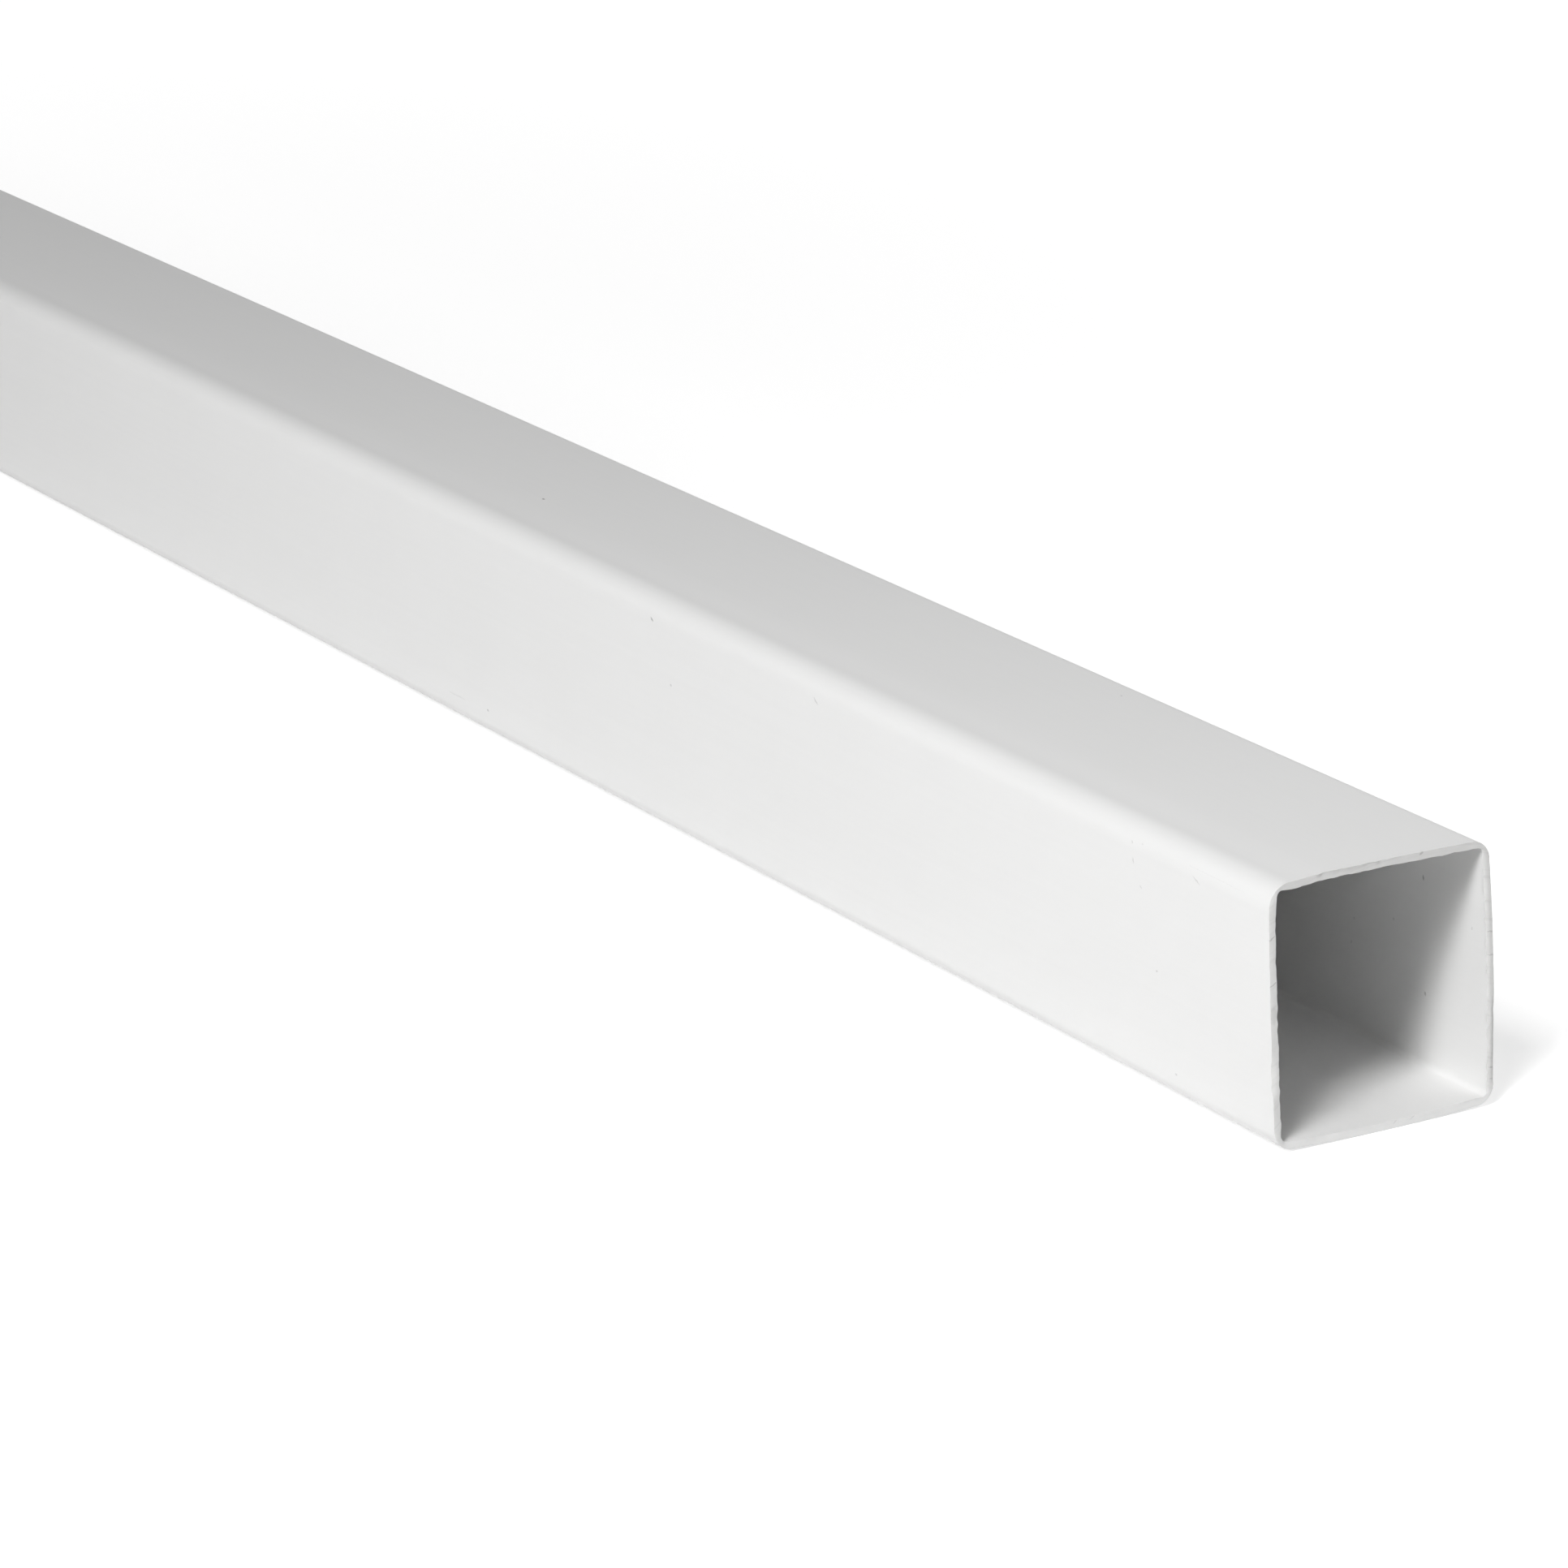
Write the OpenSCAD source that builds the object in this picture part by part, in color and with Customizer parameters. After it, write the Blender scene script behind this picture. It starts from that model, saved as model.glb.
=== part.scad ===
// White PVC square tube: one extruded length of thin-walled square stock.
// It lies along X on its bottom wall. Its saw-cut end is at +X and its front wall faces -Y.
// All sizes are in millimetres and all angles in degrees.

/* [Section] */
// Outside width and height, over the middles of opposite walls
outer_size = 40; // [20:0.5:100]
// Wall thickness, the same all round
wall = 1.1; // [0.6:0.05:2.4]
// Outside radius of the four long edges
corner_radius = 3; // [2.5:0.1:8]

/* [Crowned walls] */
// How far the middle of the front wall bows out
crown_front = 0.15; // [0.05:0.01:1]
// How far the middle of the top wall bows out
crown_top = 0.1; // [0.05:0.01:1]
// How far the middle of the back wall bows out
crown_back = 0.42; // [0.05:0.01:1]
// How far the middle of the bottom wall bows out
crown_bottom = 0.47; // [0.05:0.01:1]
// Flat strip left between a wall's bow and its rounded edge
edge_land = 0.3; // [0.1:0.05:1]

/* [Length and sawn end] */
// Overall length, to the point of the saw-cut end that stands out most
tube_length = 1000; // [100:10:4000]
// How far the saw cut leans back towards the top wall
lean_to_top = 4.6; // [0:0.1:12]
// How far the saw cut leans back towards the back wall
lean_to_back = 2.1; // [0:0.1:12]

/* [Hidden] */
$fn = 96;
// The bows are shallow arcs of very large circles, so those circles are drawn with finer steps
bow_steps = 2880;

// The section without its bows: a rounded rectangle, which unequal bows put a little off centre
flat_width = outer_size - crown_front - crown_back;
flat_height = outer_size - crown_top - crown_bottom;
middle_y = (crown_front - crown_back) / 2;
middle_z = (outer_size + crown_bottom - crown_top) / 2;

// Spare length of stock that the saw takes off
saw_spare = outer_size / 8;
// The saw cut's plane, as its fall in X for each step along Y and Z
fall_y = tan(lean_to_back);
fall_z = tan(lean_to_top) / cos(lean_to_back);
// The cut stands out most at the rounded edge between the bottom and front walls
edge_y = corner_radius - flat_width / 2;
edge_z = corner_radius - flat_height / 2;
cut_reach = corner_radius * norm([fall_y, fall_z]) - fall_y * edge_y - fall_z * edge_z;
cut_x = tube_length / 2 - cut_reach;

// Radius of the arc that rises by a crown over a flat
function bow_radius(half_span, crown) = (half_span * half_span + crown * crown) / (2 * crown);

// Rectangle with rounded corners, centred
module rounded_rectangle(width, height, radius) {
    square([width - 2 * radius, height], center = true);
    square([width, height - 2 * radius], center = true);
    for (y = [-1, 1], z = [-1, 1])
        translate([y * (width / 2 - radius), z * (height / 2 - radius)])
            circle(radius);
}

// The bow on one flat: the flat is as far from the middle as reach and as long as flat_length
module bow(angle, reach, flat_length, crown, inset) {
    half_span = flat_length / 2 - edge_land;
    radius = bow_radius(half_span, crown);
    rotate(angle)
        intersection() {
            translate([reach + crown - radius, 0])
                circle(radius - inset, $fn = bow_steps);
            translate([0, -half_span - edge_land / 2])
                square([reach + 2 * crown, 2 * half_span + edge_land]);
        }
}

// Outline of the section, drawn in from the outside by inset
module outline(inset) {
    flat_across = flat_width - 2 * corner_radius;
    flat_up = flat_height - 2 * corner_radius;
    rounded_rectangle(flat_width - 2 * inset, flat_height - 2 * inset, corner_radius - inset);
    bow(0, flat_width / 2, flat_up, crown_back, inset);
    bow(90, flat_height / 2, flat_across, crown_top, inset);
    bow(180, flat_width / 2, flat_up, crown_front, inset);
    bow(270, flat_height / 2, flat_across, crown_bottom, inset);
}

// The extruded stock, a little longer than the finished tube at its sawn end
module stock() {
    translate([-tube_length / 2, middle_y, middle_z])
        rotate([90, 0, 90])
            linear_extrude(tube_length + saw_spare)
                difference() {
                    outline(0);
                    outline(wall);
                }
}

// What the saw takes off: everything past the leaning plane
module sawn_off() {
    across = 2 * outer_size;
    translate([cut_x, middle_y, middle_z])
        rotate([0, -lean_to_top, lean_to_back])
            translate([0, -across / 2, -across / 2])
                cube([across + saw_spare, across, across]);
}

module square_tube() {
    color([0.94, 0.94, 0.93])
        difference() {
            stock();
            sawn_off();
        }
}

square_tube();
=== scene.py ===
"""One length of white square PVC tube with a saw-cut end, dressed and lit for a studio picture.

All sizes are in metres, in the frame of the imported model: X runs along the tube to its saw-cut
end, the front wall faces -Y, and the tube lies on Z = 0.
"""

import logging
from collections.abc import Callable
from dataclasses import dataclass, field
from enum import Enum
from math import cos, hypot, radians, sin, tan

import bmesh
import bpy
from mathutils import Matrix, Quaternion, Vector


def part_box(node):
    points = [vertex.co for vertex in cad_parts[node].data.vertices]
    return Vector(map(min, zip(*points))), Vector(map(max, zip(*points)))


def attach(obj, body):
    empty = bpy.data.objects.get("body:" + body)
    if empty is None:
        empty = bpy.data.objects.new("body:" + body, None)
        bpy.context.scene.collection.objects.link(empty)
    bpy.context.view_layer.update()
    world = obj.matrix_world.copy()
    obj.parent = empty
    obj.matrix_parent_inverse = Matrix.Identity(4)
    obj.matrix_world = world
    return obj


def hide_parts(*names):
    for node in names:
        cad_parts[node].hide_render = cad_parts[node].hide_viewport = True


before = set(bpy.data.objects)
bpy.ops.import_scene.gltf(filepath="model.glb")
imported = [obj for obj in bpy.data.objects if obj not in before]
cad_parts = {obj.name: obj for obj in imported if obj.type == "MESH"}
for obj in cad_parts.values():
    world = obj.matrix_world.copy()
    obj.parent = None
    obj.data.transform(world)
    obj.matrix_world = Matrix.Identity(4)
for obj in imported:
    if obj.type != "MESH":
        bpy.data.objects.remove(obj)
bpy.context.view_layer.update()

NODE = "square_tube"
BODY = "root"
MM = 0.001
LOG = logging.getLogger("square_tube")

Number = float | int
Colour = tuple[float, float, float]


class Wall(Enum):
    """The four walls, each named by its outward direction across the section, as (Y, Z)."""

    FRONT = (-1, 0)
    TOP = (0, 1)
    BACK = (1, 0)
    BOTTOM = (0, -1)


class Side(Enum):
    """Where a mark is, named by the direction out of that surface."""

    FRONT = (0.0, -1.0, 0.0)
    TOP = (0.0, 0.0, 1.0)
    SAWN = (1.0, 0.0, 0.0)


class Part(Enum):
    """What a mesh in edit mode is picked by."""

    VERT = "verts"
    EDGE = "edges"
    FACE = "faces"


class Edge(Enum):
    """The two edges of the sawn ring."""

    OUTER = "outer"
    INNER = "inner"


def mm(x: float, y: float, z: float) -> Vector:
    """A place or a size that is written in millimetres."""
    return Vector((x, y, z)) * MM


class Value:
    """A shader socket that carries one number and takes part in Python arithmetic."""

    def __init__(self, net: "Net", socket: bpy.types.NodeSocket) -> None:
        """Keeps the socket and the net that it belongs to."""
        self.net = net
        self.socket = socket

    def __add__(self, other: "Value | Number") -> "Value":
        """Adds a value or a number."""
        return self.net.maths("ADD", self, other)

    __radd__ = __add__

    def __sub__(self, other: "Value | Number") -> "Value":
        """Takes a value or a number off."""
        return self.net.maths("SUBTRACT", self, other)

    def __rsub__(self, other: Number) -> "Value":
        """Takes this value off a number."""
        return self.net.maths("SUBTRACT", other, self)

    def __mul__(self, other: "Value | Number") -> "Value":
        """Multiplies by a value or a number."""
        return self.net.maths("MULTIPLY", self, other)

    __rmul__ = __mul__

    def __truediv__(self, other: "Value | Number") -> "Value":
        """Divides by a value or a number."""
        return self.net.maths("DIVIDE", self, other)

    def __or__(self, other: "Value") -> "Value":
        """Joins two masks: the larger of the two values."""
        return self.net.maths("MAXIMUM", self, other)

    def ramp(self, low: float, high: float) -> "Value":
        """Rises smoothly from 0 at low to 1 at high.

        Args:
            low: The value that gives 0.
            high: The value that gives 1. It may be the smaller of the two.

        Returns:
            The ramped value, between 0 and 1.
        """
        settings = {"interpolation_type": "SMOOTHSTEP", "clamp": True}
        if low <= high:
            links = {"Value": self, "From Min": low, "From Max": high}
            return self.net.value("ShaderNodeMapRange", "Result", settings, links)
        links = {"Value": self, "From Min": high, "From Max": low, "To Min": 1.0, "To Max": 0.0}
        return self.net.value("ShaderNodeMapRange", "Result", settings, links)


class Net:
    """The node tree of one material or of the world."""

    def __init__(self, tree: bpy.types.NodeTree) -> None:
        """Takes over a node tree and empties it."""
        self.tree = tree
        self.tree.nodes.clear()

    def node(
        self, kind: str, settings: dict[str, object] | None = None, links: dict | None = None
    ) -> bpy.types.Node:
        """Adds a node.

        Args:
            kind: The node's type.
            settings: Its own settings, which are set first.
            links: The values of its sockets, or what is linked to them, by name or number.

        Returns:
            The new node.
        """
        node = self.tree.nodes.new(kind)
        for name, setting in (settings or {}).items():
            setattr(node, name, setting)
        for name, given in (links or {}).items():
            source = given.socket if isinstance(given, Value) else given
            if isinstance(source, bpy.types.NodeSocket):
                self.tree.links.new(source, node.inputs[name])
            else:
                node.inputs[name].default_value = source
        return node

    def value(self, kind: str, output: str, settings: dict | None = None, links: dict | None = None) -> Value:
        """Adds a node and wraps one of its outputs as a value."""
        return Value(self, self.node(kind, settings, links).outputs[output])

    def maths(self, operation: str, first: Value | Number, second: Value | Number) -> Value:
        """Adds a Math node on two values or numbers."""
        return self.value("ShaderNodeMath", "Value", {"operation": operation}, {0: first, 1: second})

    def vector(self, operation: str, first: object, second: object) -> bpy.types.NodeSocket:
        """Adds a Vector Math node and gives its vector."""
        settings = {"operation": operation}
        return self.node("ShaderNodeVectorMath", settings, {0: first, 1: second}).outputs["Vector"]

    def noise(self, place: bpy.types.NodeSocket, feature: float, detail: float = 2.0) -> Value:
        """Adds a noise whose features are about as large as a length.

        Args:
            place: The coordinates, in metres.
            feature: The size of the features, in metres.
            detail: How many finer layers are added.

        Returns:
            The noise, about 0.5 on the average.
        """
        links = {"Vector": place, "Scale": 1.0 / feature, "Detail": detail}
        return self.value("ShaderNodeTexNoise", "Fac", None, links)

    def mix_colour(
        self, mask: Value | Number, plain: object, masked: object, blend: str = "MIX"
    ) -> bpy.types.NodeSocket:
        """Mixes two colours.

        Args:
            mask: The share of the second colour.
            plain: The colour where the mask is 0.
            masked: The colour that is mixed in.
            blend: How it is mixed in.

        Returns:
            The socket that holds the mixed colour.
        """
        mask_in, plain_in, masked_in, colour_out = 0, 6, 7, 2
        settings = {"data_type": "RGBA", "blend_type": blend}
        links = {mask_in: mask, plain_in: plain, masked_in: masked}
        return self.node("ShaderNodeMix", settings, links).outputs[colour_out]


def opaque(colour: Colour) -> tuple[float, float, float, float]:
    """Gives a colour its fourth number."""
    return (*colour, 1.0)


def pick(piece: bpy.types.Object, part: Part, test: Callable[[object], bool]) -> None:
    """Selects what passes a test, and nothing else, in a piece that is in edit mode.

    Args:
        piece: The piece being edited.
        part: Whether vertices, edges or faces are tested.
        test: Says whether one of them is selected.
    """
    bpy.ops.mesh.select_mode(type=part.name)
    bpy.ops.mesh.select_all(action="DESELECT")
    cage = bmesh.from_edit_mesh(piece.data)
    for element in getattr(cage, part.value):
        if test(element):
            element.select_set(True)
    cage.select_flush_mode()
    bmesh.update_edit_mesh(piece.data)


@dataclass(frozen=True)
class Section:
    """The tube's square section. Only its rounder edge isn't in the solid."""

    outer: float
    wall: float = 1.1 * MM
    corner_radius: float = 3.0 * MM
    # The edge between the front and top walls came out of the die rounder than the others
    front_top_radius: float = 4.0 * MM
    edge_land: float = 0.3 * MM
    crowns: dict[Wall, float] = field(
        default_factory=lambda: {
            Wall.FRONT: 0.15 * MM,
            Wall.TOP: 0.10 * MM,
            Wall.BACK: 0.42 * MM,
            Wall.BOTTOM: 0.47 * MM,
        }
    )

    @property
    def flat_width(self) -> float:
        """Width without the bows of the front and back walls."""
        return self.outer - self.crowns[Wall.FRONT] - self.crowns[Wall.BACK]

    @property
    def flat_height(self) -> float:
        """Height without the bows of the top and bottom walls."""
        return self.outer - self.crowns[Wall.TOP] - self.crowns[Wall.BOTTOM]

    @property
    def middle(self) -> Vector:
        """Middle of the section without its bows, at X = 0."""
        middle_y = (self.crowns[Wall.FRONT] - self.crowns[Wall.BACK]) / 2
        middle_z = (self.outer + self.crowns[Wall.BOTTOM] - self.crowns[Wall.TOP]) / 2
        return Vector((0.0, middle_y, middle_z))


@dataclass(frozen=True)
class SawCut:
    """The leaning plane that the saw left, as the solid has it."""

    section: Section
    tip_x: float
    lean_to_top: float = radians(4.6)
    lean_to_back: float = radians(2.1)

    @property
    def normal(self) -> Vector:
        """Direction that the sawn end faces."""
        flat = cos(self.lean_to_top)
        return Vector((flat * cos(self.lean_to_back), flat * sin(self.lean_to_back), sin(self.lean_to_top)))

    @property
    def point(self) -> Vector:
        """Where the cut meets the middle line of the tube.

        Returns:
            The point, so far back that the edge between the front and bottom walls ends at tip_x.
        """
        fall_y = tan(self.lean_to_back)
        fall_z = tan(self.lean_to_top) / cos(self.lean_to_back)
        radius = self.section.corner_radius
        edge_y = radius - self.section.flat_width / 2
        edge_z = radius - self.section.flat_height / 2
        reach = radius * hypot(fall_y, fall_z) - fall_y * edge_y - fall_z * edge_z
        return self.section.middle + Vector((self.tip_x - reach, 0.0, 0.0))

    def behind(self, depth: float) -> Vector:
        """A point of the plane that lies a depth behind the cut."""
        return self.point - depth * self.normal

    def distance(self, spot: Vector) -> float:
        """How far a spot stands out of the cut."""
        return (spot - self.point).dot(self.normal)


@dataclass(frozen=True)
class Wear:
    """How the saw left the ring near one of its edges: worn back, torn outwards or chipped sideways.

    A vertex moves along the axis by the height times what a cloudy texture has above the level there.
    """

    name: str
    walls: tuple[Wall, ...]
    edge: Edge
    axis: str
    height: float
    level: float
    grain: float
    # How far from the edge the wear reaches across the ring
    reach: float
    # Where it starts and ends along the wall, from the wall's middle, or nothing for the whole ring
    span: tuple[float, float] | None = (-18.8 * MM, 18.8 * MM)
    fade: float = 1.5 * MM

    def weight(self, from_edge: float, along: float) -> float:
        """Weighs a vertex of the ring.

        Args:
            from_edge: Its distance from the edge, across the ring.
            along: Its distance along the wall from the wall's middle.

        Returns:
            1 where the wear is full, 0 where there is none.
        """
        across_share = max(0.0, 1.0 - from_edge / self.reach)
        if self.span is None:
            return across_share
        inside = min(along - self.span[0], self.span[1] - along)
        return across_share * min(1.0, max(0.0, inside / self.fade))


@dataclass
class SquareTube:
    """The tube: thin bowed walls with round long edges, sawn off at the near end."""

    section: Section
    length: float
    cut: SawCut
    name: str = "pvc_tube"
    saw_spare: float = 5 * MM
    edge_segments: int = 12
    wall_cuts: int = 99
    # Widths of the rings that the sawn end is made of, from the outside in
    ring_steps: tuple[float, ...] = (0.12 * MM, 0.25 * MM, 0.36 * MM, 0.25 * MM, 0.12 * MM)
    # Depths behind each end at which the walls are ringed, and the spacing of the other rings
    ring_depths: tuple[float, ...] = (0.4 * MM, 0.9 * MM, 2 * MM, 5 * MM, 12 * MM, 25 * MM)
    ring_spacing: float = 50 * MM
    smooth_angle: float = radians(40)
    # Inside radii of the bore's corners that are sharper than the bend of a constant wall
    sharp_corners: dict[tuple[Wall, Wall], float] = field(
        default_factory=lambda: {
            (Wall.BACK, Wall.TOP): 1.0 * MM,
            (Wall.BACK, Wall.BOTTOM): 1.0 * MM,
            (Wall.FRONT, Wall.BOTTOM): 1.2 * MM,
            (Wall.FRONT, Wall.TOP): 1.3 * MM,
        }
    )
    # How far the top wall sags along the front edge, and how far from there the sag reaches
    sag: float = 0.35 * MM
    sag_reach: float = 7 * MM
    # More than the bows lift the sawn edges off the saw's plane, less than two vertices are apart
    tolerance: float = 0.18 * MM
    # How near to a loop's bend the loop's own vertices lie
    slack: float = 0.03 * MM
    wear: tuple[Wear, ...] = (
        Wear("sawn", tuple(Wall), Edge.OUTER, "X", 0.10 * MM, 0.5, 1.1 * MM, 9.9 * MM, None),
        Wear("front_soft", (Wall.FRONT,), Edge.OUTER, "X", 0.25 * MM, 0.8, 1.6 * MM, 0.4 * MM),
        Wear("front_lip", (Wall.FRONT,), Edge.OUTER, "X", 0.3 * MM, 1.5, 1.2 * MM, 0.75 * MM,
             (-11.4 * MM, -6.2 * MM), 0.8 * MM),
        Wear("front_kinks", (Wall.FRONT,), Edge.INNER, "Y", 0.45 * MM, 0.5, 2.2 * MM, 0.4 * MM),
        Wear("top_torn", (Wall.TOP,), Edge.OUTER, "X", 0.7 * MM, 0.35, 1.3 * MM, 0.45 * MM,
             (-14 * MM, 3 * MM), 3.0 * MM),
        Wear("top_steps", (Wall.TOP,), Edge.INNER, "Z", 0.40 * MM, 0.5, 2.0 * MM, 0.4 * MM),
        Wear("back_burr", (Wall.BACK,), Edge.INNER, "X", 0.5 * MM, 0.9, 0.8 * MM, 0.4 * MM),
        Wear("back_scallops", (Wall.BACK,), Edge.INNER, "Y", 0.30 * MM, 0.6, 0.8 * MM, 0.4 * MM),
        Wear("back_worn", (Wall.BACK,), Edge.OUTER, "X", 0.2 * MM, 1.4, 1.5 * MM, 0.35 * MM,
             (-17.0 * MM, -3.5 * MM), 2.0 * MM),
        Wear("bottom_round", (Wall.BOTTOM,), Edge.INNER, "X", 0.2 * MM, 1.7, 2.0 * MM, 1.0 * MM),
    )

    @property
    def ends(self) -> tuple[tuple[Vector, Vector], ...]:
        """A point and the outward direction of the sawn end, and of the far one."""
        along = Vector((1.0, 0.0, 0.0))
        return (self.cut.point, self.cut.normal), (-along * self.length / 2, -along)

    def build(self) -> bpy.types.Object:
        """Models the tube.

        Returns:
            The finished piece, at the origin, with its place in its mesh.
        """
        tube = self._stock()
        self._saw_off()
        self._hollow(tube)
        self._ring_walls()
        self._sharpen_bore(tube)
        self._bow_walls(tube)
        self._sag_top(tube)
        bpy.ops.mesh.select_all(action="SELECT")
        bpy.ops.mesh.normals_make_consistent(inside=False)
        bpy.ops.object.mode_set(mode="OBJECT")
        self._roughen(tube)
        bpy.ops.object.shade_smooth_by_angle(angle=self.smooth_angle)
        return tube

    def _stock(self) -> bpy.types.Object:
        """Makes the solid bar: rounds its long edges and divides its walls lengthwise.

        Returns:
            The bar, in edit mode, longer than the tube by what the saw takes off.
        """
        section = self.section
        width, height = section.flat_width, section.flat_height
        front_top = section.middle + Vector((0.0, -width / 2, height / 2))

        def at_front_top(edge: bmesh.types.BMEdge) -> bool:
            """Says whether an edge lies where the front and top walls meet."""
            offset = edge.verts[0].co - front_top
            return hypot(offset.y, offset.z) < self.tolerance

        bpy.ops.object.select_all(action="DESELECT")
        bpy.ops.mesh.primitive_cube_add(size=1.0, enter_editmode=True)
        tube = bpy.context.object
        tube.name = self.name
        bpy.ops.transform.resize(value=(self.length + self.saw_spare, width, height))
        bpy.ops.transform.translate(value=section.middle + Vector((self.saw_spare / 2, 0.0, 0.0)))
        for radius, wanted in ((section.corner_radius, False), (section.front_top_radius, True)):
            pick(
                tube,
                Part.EDGE,
                lambda edge: edge.calc_length() > self.length and at_front_top(edge) is wanted,
            )
            bpy.ops.mesh.bevel(offset=radius, segments=self.edge_segments, profile=0.5, affect="EDGES")
        pick(tube, Part.EDGE, lambda edge: height / 2 < edge.calc_length() < self.length / 2)
        bpy.ops.mesh.subdivide(number_cuts=self.wall_cuts)
        return tube

    def _saw_off(self) -> None:
        """Cuts the bar off along the leaning plane and closes the cut."""
        bpy.ops.mesh.select_all(action="SELECT")
        bpy.ops.mesh.bisect(
            plane_co=self.cut.point, plane_no=self.cut.normal, use_fill=True, clear_outer=True
        )

    def _hollow(self, tube: bpy.types.Object) -> None:
        """Insets both ends ring by ring and joins the two holes with the bore's wall."""
        quad_corners = 4
        pick(tube, Part.FACE, lambda face: len(face.verts) > quad_corners)
        for step in self.ring_steps:
            bpy.ops.mesh.inset(thickness=step, depth=0.0)
        bpy.ops.mesh.delete(type="ONLY_FACE")
        pick(tube, Part.EDGE, lambda edge: edge.is_boundary)
        bpy.ops.mesh.bridge_edge_loops()

    def _ring_walls(self) -> None:
        """Rings the walls: closely near both ends, and at even steps between them."""
        along = Vector((1.0, 0.0, 0.0))
        rings = [(self.cut.behind(depth), self.cut.normal) for depth in self.ring_depths]
        rings += [(along * (depth - self.length / 2), along) for depth in self.ring_depths]
        even_rings = round(self.length / self.ring_spacing)
        for index in range(1, even_rings):
            rings.append((along * (index * self.ring_spacing - self.length / 2), along))
        for point, normal in rings:
            bpy.ops.mesh.select_all(action="SELECT")
            bpy.ops.mesh.bisect(plane_co=point, plane_no=normal)

    def _sharpen_bore(self, tube: bpy.types.Object) -> None:
        """Draws the sharper inside corners of the bore towards where their walls would meet.

        The loops of both ends follow, each by less than the one inside it, so that none cross.

        Args:
            tube: The tube, in edit mode, with its walls ringed.
        """
        section = self.section
        half = Vector((0.0, section.flat_width / 2, section.flat_height / 2))
        inward_steps = self.ring_steps[::-1]
        depths = [sum(inward_steps[:count]) for count in range(len(inward_steps))]
        for (side, level), sharp in self.sharp_corners.items():
            out = Vector((0.0, side.value[0], level.value[1]))
            is_rounder = (side, level) == (Wall.FRONT, Wall.TOP)
            outside = section.front_top_radius if is_rounder else section.corner_radius
            centre = section.middle + out * half - out * outside
            # The outermost loop goes first, so that a vertex once moved isn't picked again
            for depth in reversed(depths):
                radius = outside - section.wall + depth
                drawn = (outside - section.wall - sharp) * (1.0 - depth / section.wall)

                def on_bend(vert: bmesh.types.BMVert) -> bool:
                    """Says whether a vertex lies on this loop's bend at this corner."""
                    offset = (vert.co - centre) * out
                    spread = hypot(offset.y, offset.z)
                    return min(offset) > -self.slack and abs(spread - radius) < self.slack

                pick(tube, Part.VERT, on_bend)
                share = (radius - drawn) / radius
                bpy.ops.transform.resize(value=(1.0, share, share), center_override=centre + out * radius)

    def _bow_walls(self, tube: bpy.types.Object) -> None:
        """Bows each wall out by its crown, most at its middle line."""
        middle = self.section.middle
        for wall, crown in self.section.crowns.items():
            out = Vector((0.0, *wall.value))
            along_wall = Vector((0.0, out.z, out.y))
            flat = self.section.flat_height if out.y else self.section.flat_width
            half_span = flat / 2 - self.section.corner_radius - self.section.edge_land

            def on_middle_line(vert: bmesh.types.BMVert) -> bool:
                """Says whether a vertex lies on the middle line of this wall."""
                offset = vert.co - middle
                return abs(offset.dot(along_wall)) < self.tolerance and offset.dot(out) > 0

            pick(tube, Part.VERT, on_middle_line)
            bpy.ops.transform.translate(
                value=out * crown,
                use_proportional_edit=True,
                proportional_edit_falloff="INVERSE_SQUARE",
                proportional_size=half_span,
            )

    def _sag_top(self, tube: bpy.types.Object) -> None:
        """Lets the top wall sag a little where it runs into the front edge."""
        section = self.section
        line_y = section.middle.y - section.flat_width / 2 + section.front_top_radius
        least_z = section.middle.z + section.flat_height / 2 - 2 * section.wall

        def on_line(vert: bmesh.types.BMVert) -> bool:
            """Says whether a vertex lies where the top wall starts to bend."""
            return abs(vert.co.y - line_y) < self.tolerance and vert.co.z > least_z

        pick(tube, Part.VERT, on_line)
        bpy.ops.transform.translate(
            value=(0.0, 0.0, -self.sag),
            use_proportional_edit=True,
            proportional_edit_falloff="SMOOTH",
            proportional_size=self.sag_reach,
        )

    def _roughen(self, tube: bpy.types.Object) -> None:
        """Roughens the sawn ring and its edges, which the saw tore a little."""
        loops = self._ring_loops(tube)
        LOG.info("sawn end: %d rings of %d vertices", len(loops), len(loops[0]))
        for wear in self.wear:
            self._weigh(tube, loops, wear)
            cloud = bpy.data.textures.new(wear.name, type="CLOUDS")
            cloud.noise_scale = wear.grain
            modifier = tube.modifiers.new(wear.name, "DISPLACE")
            modifier.texture = cloud
            modifier.texture_coords = "LOCAL"
            modifier.vertex_group = wear.name
            modifier.direction = wear.axis
            modifier.strength = wear.height
            modifier.mid_level = wear.level
            bpy.ops.object.modifier_apply(modifier=modifier.name)

    def _ring_loops(self, tube: bpy.types.Object) -> list[list[int]]:
        """Finds the loops of vertices that the sawn ring is made of.

        Args:
            tube: The tube, before its sawn end is roughened.

        Returns:
            The vertices of each loop, from the outside in.
        """
        mesh = tube.data
        on_cut = {v.index for v in mesh.vertices if abs(self.cut.distance(v.co)) < self.tolerance}
        beside = {index: set() for index in on_cut}
        for edge in mesh.edges:
            first, second = edge.vertices
            if first in on_cut and second in on_cut:
                beside[first].add(second)
                beside[second].add(first)
        outermost = max(on_cut, key=lambda index: (mesh.vertices[index].co - self.section.middle).z)
        outline = {outermost}
        outer_neighbours = 3
        fresh = [outermost]
        while fresh:
            rim = [n for n in beside[fresh.pop()] if len(beside[n]) == outer_neighbours]
            fresh += [n for n in rim if n not in outline]
            outline.update(rim)
        loops = [sorted(outline)]
        used = set(outline)
        for _ in self.ring_steps:
            inward = {n for index in loops[-1] for n in beside[index]} - used
            loops.append(sorted(inward))
            used |= inward
        return loops

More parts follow.
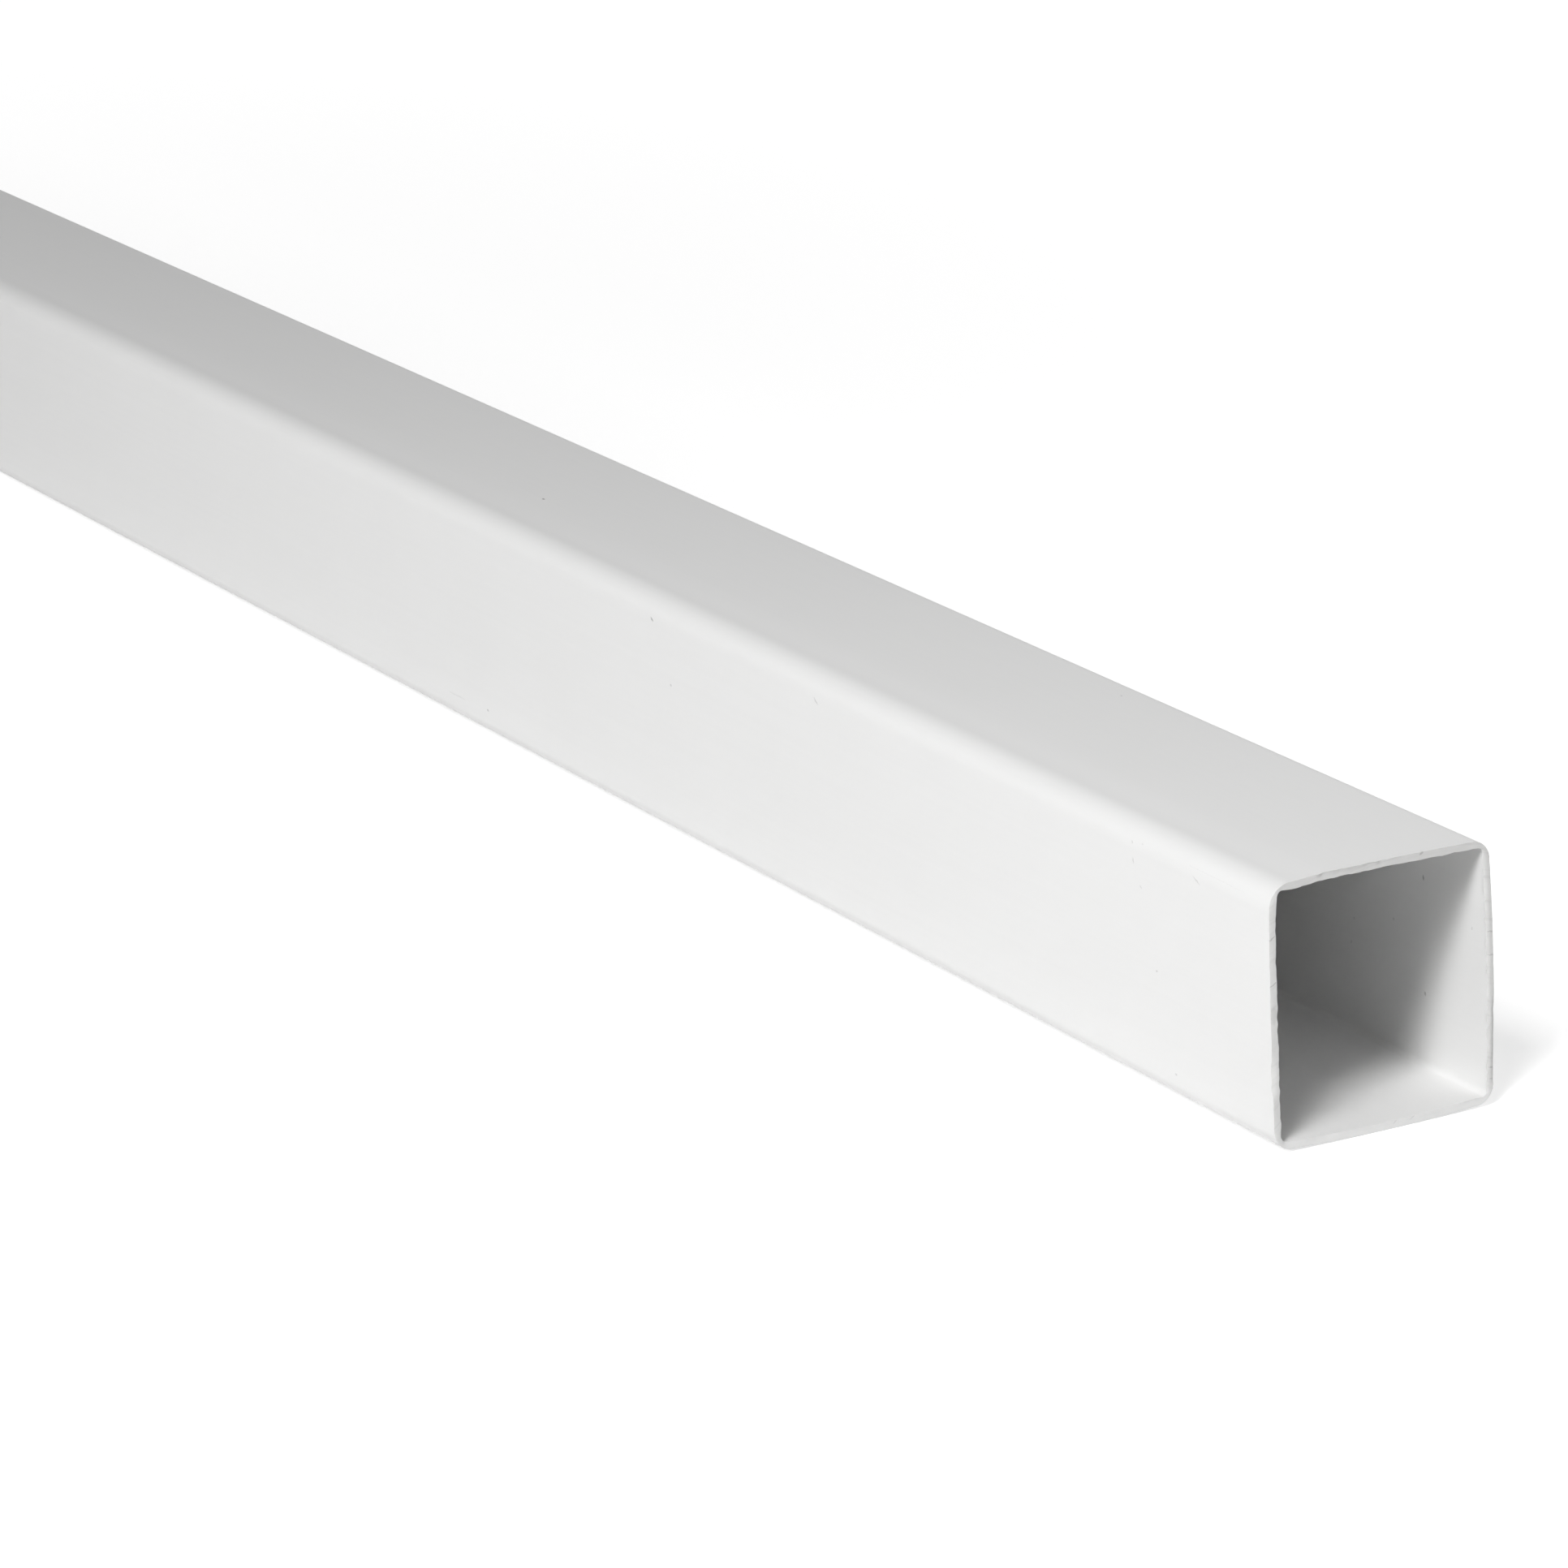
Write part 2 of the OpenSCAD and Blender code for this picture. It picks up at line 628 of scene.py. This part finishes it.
    def _weigh(self, tube: bpy.types.Object, loops: list[list[int]], wear: Wear) -> None:
        """Makes the vertex group of one kind of wear.

        Args:
            tube: The tube.
            loops: The vertices of the sawn ring, loop by loop from the outside in.
            wear: The wear whose name the group takes.
        """
        group = tube.vertex_groups.new(name=wear.name)
        depths = [sum(self.ring_steps[:count]) for count in range(len(loops))]
        for depth, loop in zip(depths, loops):
            from_edge = depth if wear.edge is Edge.OUTER else self.section.wall - depth
            for index in loop:
                offset = tube.data.vertices[index].co - self.section.middle
                wall = max(Wall, key=lambda wall: offset.dot(Vector((0.0, *wall.value))))
                along = offset.z if wall.value[0] else offset.y
                if wall in wear.walls:
                    group.add([index], wear.weight(from_edge, along), "REPLACE")


@dataclass(frozen=True)
class Mark:
    """A speck, scuff, hairline or saw scratch: a soft oval of grime from one spot to another."""

    side: Side
    start: Vector
    end: Vector
    width: float
    shade: float
    depth: float = 0.5 * MM

    @property
    def turn(self) -> tuple[float, float, float]:
        """The turn that brings X along the mark and Z out of its surface."""
        out = Vector(self.side.value)
        along = (self.end - self.start).normalized()
        return tuple(Matrix((along, out.cross(along), out)).transposed().to_euler())

    @property
    def half_sizes(self) -> Vector:
        """Half its length, half its width, and its depth."""
        half_width = self.width / 2
        return Vector(((self.end - self.start).length / 2 + half_width, half_width, self.depth))


@dataclass(frozen=True)
class WhitePvc:
    """Satin white PVC as it leaves the die, with a rougher, greyer sawn end and a little grime."""

    tube: SquareTube
    white: Colour = (0.86, 0.86, 0.855)
    sawn_white: Colour = (0.76, 0.76, 0.75)
    grime: Colour = (0.13, 0.125, 0.12)
    roughness: float = 0.6
    sawn_roughness: float = 0.75
    ior: float = 1.53
    # Sizes of the die's lines, of the slow drift in tone and of the fine grain
    die_line: float = 0.7 * MM
    drift_size: float = 25 * MM
    grain: float = 0.3 * MM
    bump_depth: float = 0.02 * MM
    # Where the arcs of the saw's strokes have their centre, and the spacing of fine and coarse strokes
    saw_centre: tuple[float, float] = (8 * MM, -25 * MM)
    fine_stroke: float = 0.5 * MM
    coarse_stroke: float = 2.2 * MM
    # Low down the sawn ring is painted lighter, a painted brightening where it faces the lamps more, and is
    # smoother: the heights between which it gets grey and rough, and the least share
    painted_bright_smooth_heights: tuple[float, float] = (1.0 * MM, 4.5 * MM)
    least_grey_and_rough: float = 0.15
    marks: tuple[Mark, ...] = (
        Mark(Side.TOP, mm(256.3, -6.3, 40), mm(256.7, -6.3, 40), 0.50 * MM, 0.75),
        Mark(Side.TOP, mm(407.3, 13.8, 40), mm(407.6, 13.8, 40), 0.35 * MM, 0.3),
        Mark(Side.FRONT, mm(318.5, -20, 35.7), mm(319.1, -20, 35.3), 0.45 * MM, 0.55),
        Mark(Side.FRONT, mm(325.1, -20, 25.9), mm(325.4, -20, 25.9), 0.35 * MM, 0.25),
        Mark(Side.FRONT, mm(469.0, -20, 18.8), mm(469.3, -20, 18.8), 0.35 * MM, 0.3),
        Mark(Side.FRONT, mm(474.4, -20, 4.5), mm(474.7, -20, 4.4), 0.35 * MM, 0.3),
        Mark(Side.FRONT, mm(260.5, -20, 5.2), mm(260.9, -20, 5.1), 0.45 * MM, 0.4),
        Mark(Side.FRONT, mm(287.1, -20, 2.2), mm(287.4, -20, 2.2), 0.40 * MM, 0.3),
        Mark(Side.FRONT, mm(370.7, -20, 35.4), mm(372.2, -20, 34.4), 0.30 * MM, 0.35),
        Mark(Side.FRONT, mm(477.7, -20, 35.8), mm(479.7, -20, 34.8), 0.30 * MM, 0.25),
        Mark(Side.FRONT, mm(461.6, -20, 36.6), mm(462.0, -20, 36.4), 0.40 * MM, 0.2),
        Mark(Side.FRONT, mm(462.2, -20, 34.2), mm(462.4, -20, 33.4), 0.30 * MM, 0.25),
        Mark(Side.FRONT, mm(464.3, -20, 30.5), mm(464.7, -20, 30.2), 0.30 * MM, 0.2),
        Mark(Side.FRONT, mm(464.2, -20, 36.9), mm(464.6, -20, 36.8), 0.30 * MM, 0.2),
        Mark(Side.FRONT, mm(245.6, -20, 4.9), mm(252.9, -20, 4.9), 0.30 * MM, 0.12),
        Mark(Side.FRONT, mm(471.8, -20, 37.0), mm(494.0, -20, 36.8), 0.14 * MM, 0.12),
        Mark(Side.FRONT, mm(480.8, 18.8, 30.4), mm(480.9, 18.8, 29.7), 0.40 * MM, 0.5),
        Mark(Side.FRONT, mm(482.0, 18.8, 12.6), mm(482.2, 18.8, 12.3), 0.50 * MM, 0.35),
        Mark(Side.FRONT, mm(493.0, 18.8, 25.8), mm(493.0, 18.8, 25.5), 0.35 * MM, 0.2),
        Mark(Side.FRONT, mm(473.6, 18.8, 21.7), mm(473.6, 18.8, 21.5), 0.40 * MM, 0.2),
        Mark(Side.FRONT, mm(463.5, 18.8, 18.9), mm(463.7, 18.8, 18.8), 0.40 * MM, 0.2),
        Mark(Side.FRONT, mm(463.1, 18.8, 15.1), mm(463.1, 18.8, 14.9), 0.40 * MM, 0.2),
        Mark(Side.SAWN, mm(498.4, -19.5, 19.2), mm(498.4, -19.5, 21.8), 1.10 * MM, 0.16),
        Mark(Side.SAWN, mm(497.5, -20.0, 31.5), mm(497.5, -18.9, 32.2), 0.25 * MM, 0.3),
        Mark(Side.SAWN, mm(498.1, -20.0, 24.7), mm(498.1, -18.9, 25.4), 0.25 * MM, 0.3),
        Mark(Side.SAWN, mm(496.6, 18.9, 26.2), mm(496.6, 20.2, 26.0), 0.25 * MM, 0.25),
        Mark(Side.SAWN, mm(496.9, 18.9, 22.7), mm(496.9, 20.2, 22.5), 0.25 * MM, 0.25),
        Mark(Side.SAWN, mm(498.2, 18.9, 5.9), mm(498.2, 20.0, 5.7), 0.30 * MM, 0.3),
        Mark(Side.SAWN, mm(498.4, 18.9, 4.2), mm(498.4, 20.0, 4.0), 0.25 * MM, 0.25),
        Mark(Side.SAWN, mm(495.9, 7.1, 39.7), mm(495.9, 7.5, 39.9), 0.45 * MM, 0.35),
        Mark(Side.SAWN, mm(499.3, 1.3, 0.6), mm(499.2, 2.3, 1.2), 0.25 * MM, 0.15),
        Mark(Side.SAWN, mm(499.1, 4.4, 0.7), mm(499.1, 5.6, 1.3), 0.25 * MM, 0.15),
        Mark(Side.SAWN, mm(498.8, 13.1, 1.5), mm(498.6, 17.3, 1.5), 0.60 * MM, 0.08),
    )

    def material(self) -> bpy.types.Material:
        """Makes the material.

        Returns:
            The finished material, which reads the tube's own coordinates.
        """
        material = bpy.data.materials.new("white_pvc")
        material.use_nodes = True
        net = Net(material.node_tree)
        place = net.node("ShaderNodeTexCoord").outputs["Object"]
        sawn = self._sawn(net, place)
        drawn_out = net.vector("MULTIPLY", place, (0.01, 1.0, 1.0))
        die_lines = net.noise(drawn_out, self.die_line)
        drift = net.noise(place, self.drift_size, 3.0)
        strokes = self._saw_strokes(net, place)
        stroke_shade = sawn * strokes.ramp(0.50, 0.75) * 0.08
        tone = 0.965 + 0.03 * drift + 0.02 * die_lines - stroke_shade
        colour = net.mix_colour(sawn, opaque(self.white), opaque(self.sawn_white))
        shade = net.value("ShaderNodeCombineColor", "Color", None, {0: tone, 1: tone, 2: tone}).socket
        colour = net.mix_colour(1.0, colour, shade, "MULTIPLY")
        colour = net.mix_colour(self._soil(net, place), colour, opaque(self.grime))
        rough = self.roughness + 0.06 * (drift - 0.5) + sawn * (self.sawn_roughness - self.roughness)
        grain = net.noise(place, self.grain)
        height = sawn * strokes * 2.5 + 0.15 * die_lines + 0.1 * grain
        bump_links = {"Strength": 1.0, "Distance": self.bump_depth, "Height": height}
        bump = net.node("ShaderNodeBump", None, bump_links).outputs["Normal"]
        links = {"Base Color": colour, "Roughness": rough, "Normal": bump, "IOR": self.ior}
        shader = net.node("ShaderNodeBsdfPrincipled", None, links).outputs["BSDF"]
        net.node("ShaderNodeOutputMaterial", None, {"Surface": shader})
        return material

    def _soil(self, net: Net, place: bpy.types.NodeSocket) -> Value:
        """Masks the specks and scuffs, whose outlines a fine noise makes uneven.

        Args:
            net: The material's net.
            place: The tube's own coordinates.

        Returns:
            The share of grime.
        """
        ragged, tear = 0.35 * MM, 0.4 * MM
        links = {"Vector": place, "Scale": 1.0 / tear, "Detail": 1.0}
        cloud = net.node("ShaderNodeTexNoise", None, links).outputs["Color"]
        shift = net.vector("MULTIPLY", net.vector("SUBTRACT", cloud, (0.5,) * 3), (ragged,) * 3)
        torn_place = net.vector("ADD", place, shift)
        masks = [self._oval(net, torn_place, mark) * mark.shade for mark in self.marks]
        soil = masks[0]
        for mask in masks[1:]:
            soil = soil | mask
        return soil

    def _oval(self, net: Net, place: bpy.types.NodeSocket, mark: Mark) -> Value:
        """Masks one mark: 1 in its middle, 0 outside it."""
        middle = (mark.start + mark.end) / 2
        links = {"Vector": place, "Location": middle, "Rotation": mark.turn, "Scale": mark.half_sizes}
        own = net.node("ShaderNodeMapping", {"vector_type": "TEXTURE"}, links).outputs["Vector"]
        from_middle = net.value("ShaderNodeVectorMath", "Value", {"operation": "LENGTH"}, {0: own})
        outside, full = 1.1, 0.5
        return from_middle.ramp(outside, full)

    def _sawn(self, net: Net, place: bpy.types.NodeSocket) -> Value:
        """Masks both sawn ends by their planes, less low down, where they are painted lighter for the light
        that they face and are smoother.

        Args:
            net: The material's net.
            place: The tube's own coordinates.

        Returns:
            1 on the rough parts of the ends, 0 on the walls.
        """
        facing = net.node("ShaderNodeNewGeometry").outputs["Normal"]
        start, full = 0.55 * MM, 0.40 * MM
        oblique, square = 0.3, 0.75
        settings = {"operation": "DOT_PRODUCT"}
        ends = []
        for point, normal in self.tube.ends:
            reach = net.value("ShaderNodeVectorMath", "Value", settings, {0: place, 1: normal})
            turned = net.value("ShaderNodeVectorMath", "Value", settings, {0: facing, 1: normal})
            limit = point.dot(normal)
            ends.append(reach.ramp(limit - start, limit - full) * turned.ramp(oblique, square))
        near, far = ends
        up = net.value("ShaderNodeSeparateXYZ", "Z", None, {"Vector": place})
        # Low down the ring keeps less of its sawn grey, a painted brightening, and less of its roughness
        rough = self.least_grey_and_rough + (1.0 - self.least_grey_and_rough) * up.ramp(*self.painted_bright_smooth_heights)
        return (near | far) * rough

    def _saw_strokes(self, net: Net, place: bpy.types.NodeSocket) -> Value:
        """Draws the arcs that the saw's teeth left, round a centre below the tube.

        Args:
            net: The material's net.
            place: The tube's own coordinates.

        Returns:
            The height of the strokes, about 0.5 on the average.
        """
        centre = (0.0, *self.saw_centre)
        flat = net.vector("MULTIPLY", net.vector("SUBTRACT", place, centre), (0.0, 1.0, 1.0))
        radius = net.value("ShaderNodeVectorMath", "Value", {"operation": "LENGTH"}, {0: flat})
        fine, coarse = (
            net.value(
                "ShaderNodeTexNoise",
                "Fac",
                {"noise_dimensions": "1D"},
                {"W": radius / spacing, "Scale": 1.0},
            )
            for spacing in (self.fine_stroke, self.coarse_stroke)
        )
        return 0.5 * fine + 0.5 * coarse


@dataclass(frozen=True)
class Lamp:
    """A softbox that looks at a spot of the tube."""

    name: str
    towards: Vector
    distance: float
    width: float
    height: float
    power: float
    roll: float = 0.0
    # How far behind the mouth the spot lies that it looks at and hangs from
    behind_mouth: float = 0.0


@dataclass
class Studio:
    """White floor, white surroundings, the softboxes and the camera."""

    mouth: Vector
    floor_side: float = 8.0
    floor_white: Colour = (0.9, 0.9, 0.9)
    # The floor's glow by the tube's mouth and far from it, and the distances between which it grows
    glow_near: float = 0.56
    glow_far: float = 0.85
    glow_reach: tuple[float, float] = (0.25, 1.2)
    # What the surroundings give as light, beside what is seen of them
    ambient: float = 0.01
    lamps: tuple[Lamp, ...] = (
        Lamp("key_softbox", Vector((0.321, -0.814, 0.485)), 2.0, 0.34, 0.69, 11.7, radians(-15)),
        Lamp("high_softbox", Vector((0.326, -0.538, 0.777)), 0.9, 0.18, 0.30, 5.0, radians(-15)),
        Lamp("end_softbox", Vector((1.0, -0.1, 0.2)), 1.0, 0.6, 0.6, 1.0),
        Lamp("right_softbox", Vector((0.6, 0.6, 0.53)), 0.9, 0.3, 0.3, 0.23),
        Lamp("front_fill", Vector((0.0, -1.0, 0.2)), 0.45, 0.2, 0.1, 0.27, 0.0, 0.42),
        Lamp("back_softbox", Vector((0.0, 0.75, 0.66)), 0.8, 0.5, 0.4, 0.8),
        Lamp("low_back_softbox", Vector((-0.17, 0.975, 0.139)), 1.0, 0.6, 0.2, 2.0, 0.0, 0.3),
        Lamp("far_softbox", Vector((-1.0, 0.4, 0.1)), 0.8, 0.4, 0.4, 1.8, 0.0, 1.0),
    )
    # The camera: where it stands from the mouth, and where it looks
    camera_from_mouth: Vector = field(default_factory=lambda: Vector((0.72878, -0.5264, 0.30727)))
    heading: float = radians(149.64)
    dip: float = radians(17.12)
    lens_mm: float = 151.44
    sensor_mm: float = 36.0

    def build(self) -> None:
        """Sets up the whole studio."""
        self._floor()
        self._surroundings()
        for lamp in self.lamps:
            self._softbox(lamp)
        self._camera()
        bpy.context.scene.view_settings.view_transform = "Standard"

    def _seen(self, net: Net) -> Value:
        """1 where the camera, a reflection or a view through glass meets the white, 0 for soft light."""
        rays = net.node("ShaderNodeLightPath").outputs
        camera, glossy, clear = (
            Value(net, rays[f"Is {kind} Ray"]) for kind in ("Camera", "Glossy", "Transmission")
        )
        return camera | glossy | clear

    def _floor(self) -> None:
        """Lays the floor: it takes the tube's shadow and glows a little, so that it shows as white."""
        bpy.ops.object.select_all(action="DESELECT")
        bpy.ops.mesh.primitive_plane_add(size=self.floor_side)
        floor = bpy.context.object
        floor.name = "studio_floor"
        material = bpy.data.materials.new("studio_white")
        material.use_nodes = True
        net = Net(material.node_tree)
        matte = net.node("ShaderNodeBsdfDiffuse", None, {"Color": opaque(self.floor_white)}).outputs[0]
        place = net.node("ShaderNodeTexCoord").outputs["Object"]
        links = {0: place, 1: self.mouth * Vector((1.0, 1.0, 0.0))}
        away = net.value("ShaderNodeVectorMath", "Value", {"operation": "DISTANCE"}, links)
        growth = (self.glow_far - self.glow_near) * away.ramp(*self.glow_reach)
        strength = self._seen(net) * (self.glow_near + growth)
        glow = net.node("ShaderNodeEmission", None, {"Strength": strength}).outputs[0]
        both = net.node("ShaderNodeAddShader", None, {0: matte, 1: glow}).outputs[0]
        net.node("ShaderNodeOutputMaterial", None, {"Surface": both})
        floor.data.materials.append(material)

    def _surroundings(self) -> None:
        """Makes the surroundings: white to look at, a softer grey as light."""
        world = bpy.data.worlds.new("studio_surroundings")
        world.use_nodes = True
        bpy.context.scene.world = world
        net = Net(world.node_tree)
        strength = self.ambient + (1.0 - self.ambient) * self._seen(net)
        sky = net.node("ShaderNodeBackground", None, {"Color": opaque((1.0, 1.0, 1.0)), "Strength": strength})
        net.node("ShaderNodeOutputWorld", None, {"Surface": sky.outputs[0]})

    def _softbox(self, lamp: Lamp) -> None:
        """Hangs one softbox."""
        light = bpy.data.lights.new(lamp.name, "AREA")
        light.energy = lamp.power
        light.shape = "RECTANGLE"
        light.size = lamp.width
        light.size_y = lamp.height
        box = bpy.data.objects.new(lamp.name, light)
        towards = lamp.towards.normalized()
        spot = self.mouth - Vector((lamp.behind_mouth, 0.0, 0.0))
        box.location = spot + towards * lamp.distance
        aim = (-towards).to_track_quat("-Z", "Y") @ Quaternion((0.0, 0.0, 1.0), lamp.roll)
        box.rotation_euler = aim.to_euler()
        box.visible_camera = False
        bpy.context.scene.collection.objects.link(box)

    def _camera(self) -> None:
        """Stands the camera where the picture was taken from."""
        data = bpy.data.cameras.new("camera")
        data.lens = self.lens_mm
        data.sensor_width = self.sensor_mm
        camera = bpy.data.objects.new("camera", data)
        look = Vector(
            (cos(self.heading) * cos(self.dip), sin(self.heading) * cos(self.dip), -sin(self.dip))
        )
        camera.location = self.mouth + self.camera_from_mouth
        camera.rotation_euler = look.to_track_quat("-Z", "Y").to_euler()
        bpy.context.scene.collection.objects.link(camera)
        bpy.context.scene.camera = camera


def main() -> None:
    """Builds the tube and the studio."""
    logging.basicConfig(level=logging.INFO, format="%(name)s: %(message)s")
    low, high = (Vector(corner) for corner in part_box(NODE))
    section = Section(outer=high.z - low.z)
    cut = SawCut(section=section, tip_x=high.x)
    tube = SquareTube(section=section, length=high.x - low.x, cut=cut)
    piece = tube.build()
    piece.data.materials.append(WhitePvc(tube).material())
    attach(piece, BODY)
    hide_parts(NODE)
    LOG.info("%s: %d faces", piece.name, len(piece.data.polygons))
    Studio(mouth=cut.point).build()
    LOG.info("studio: floor, surroundings, softboxes and camera")


if __name__ == "__main__":
    main()
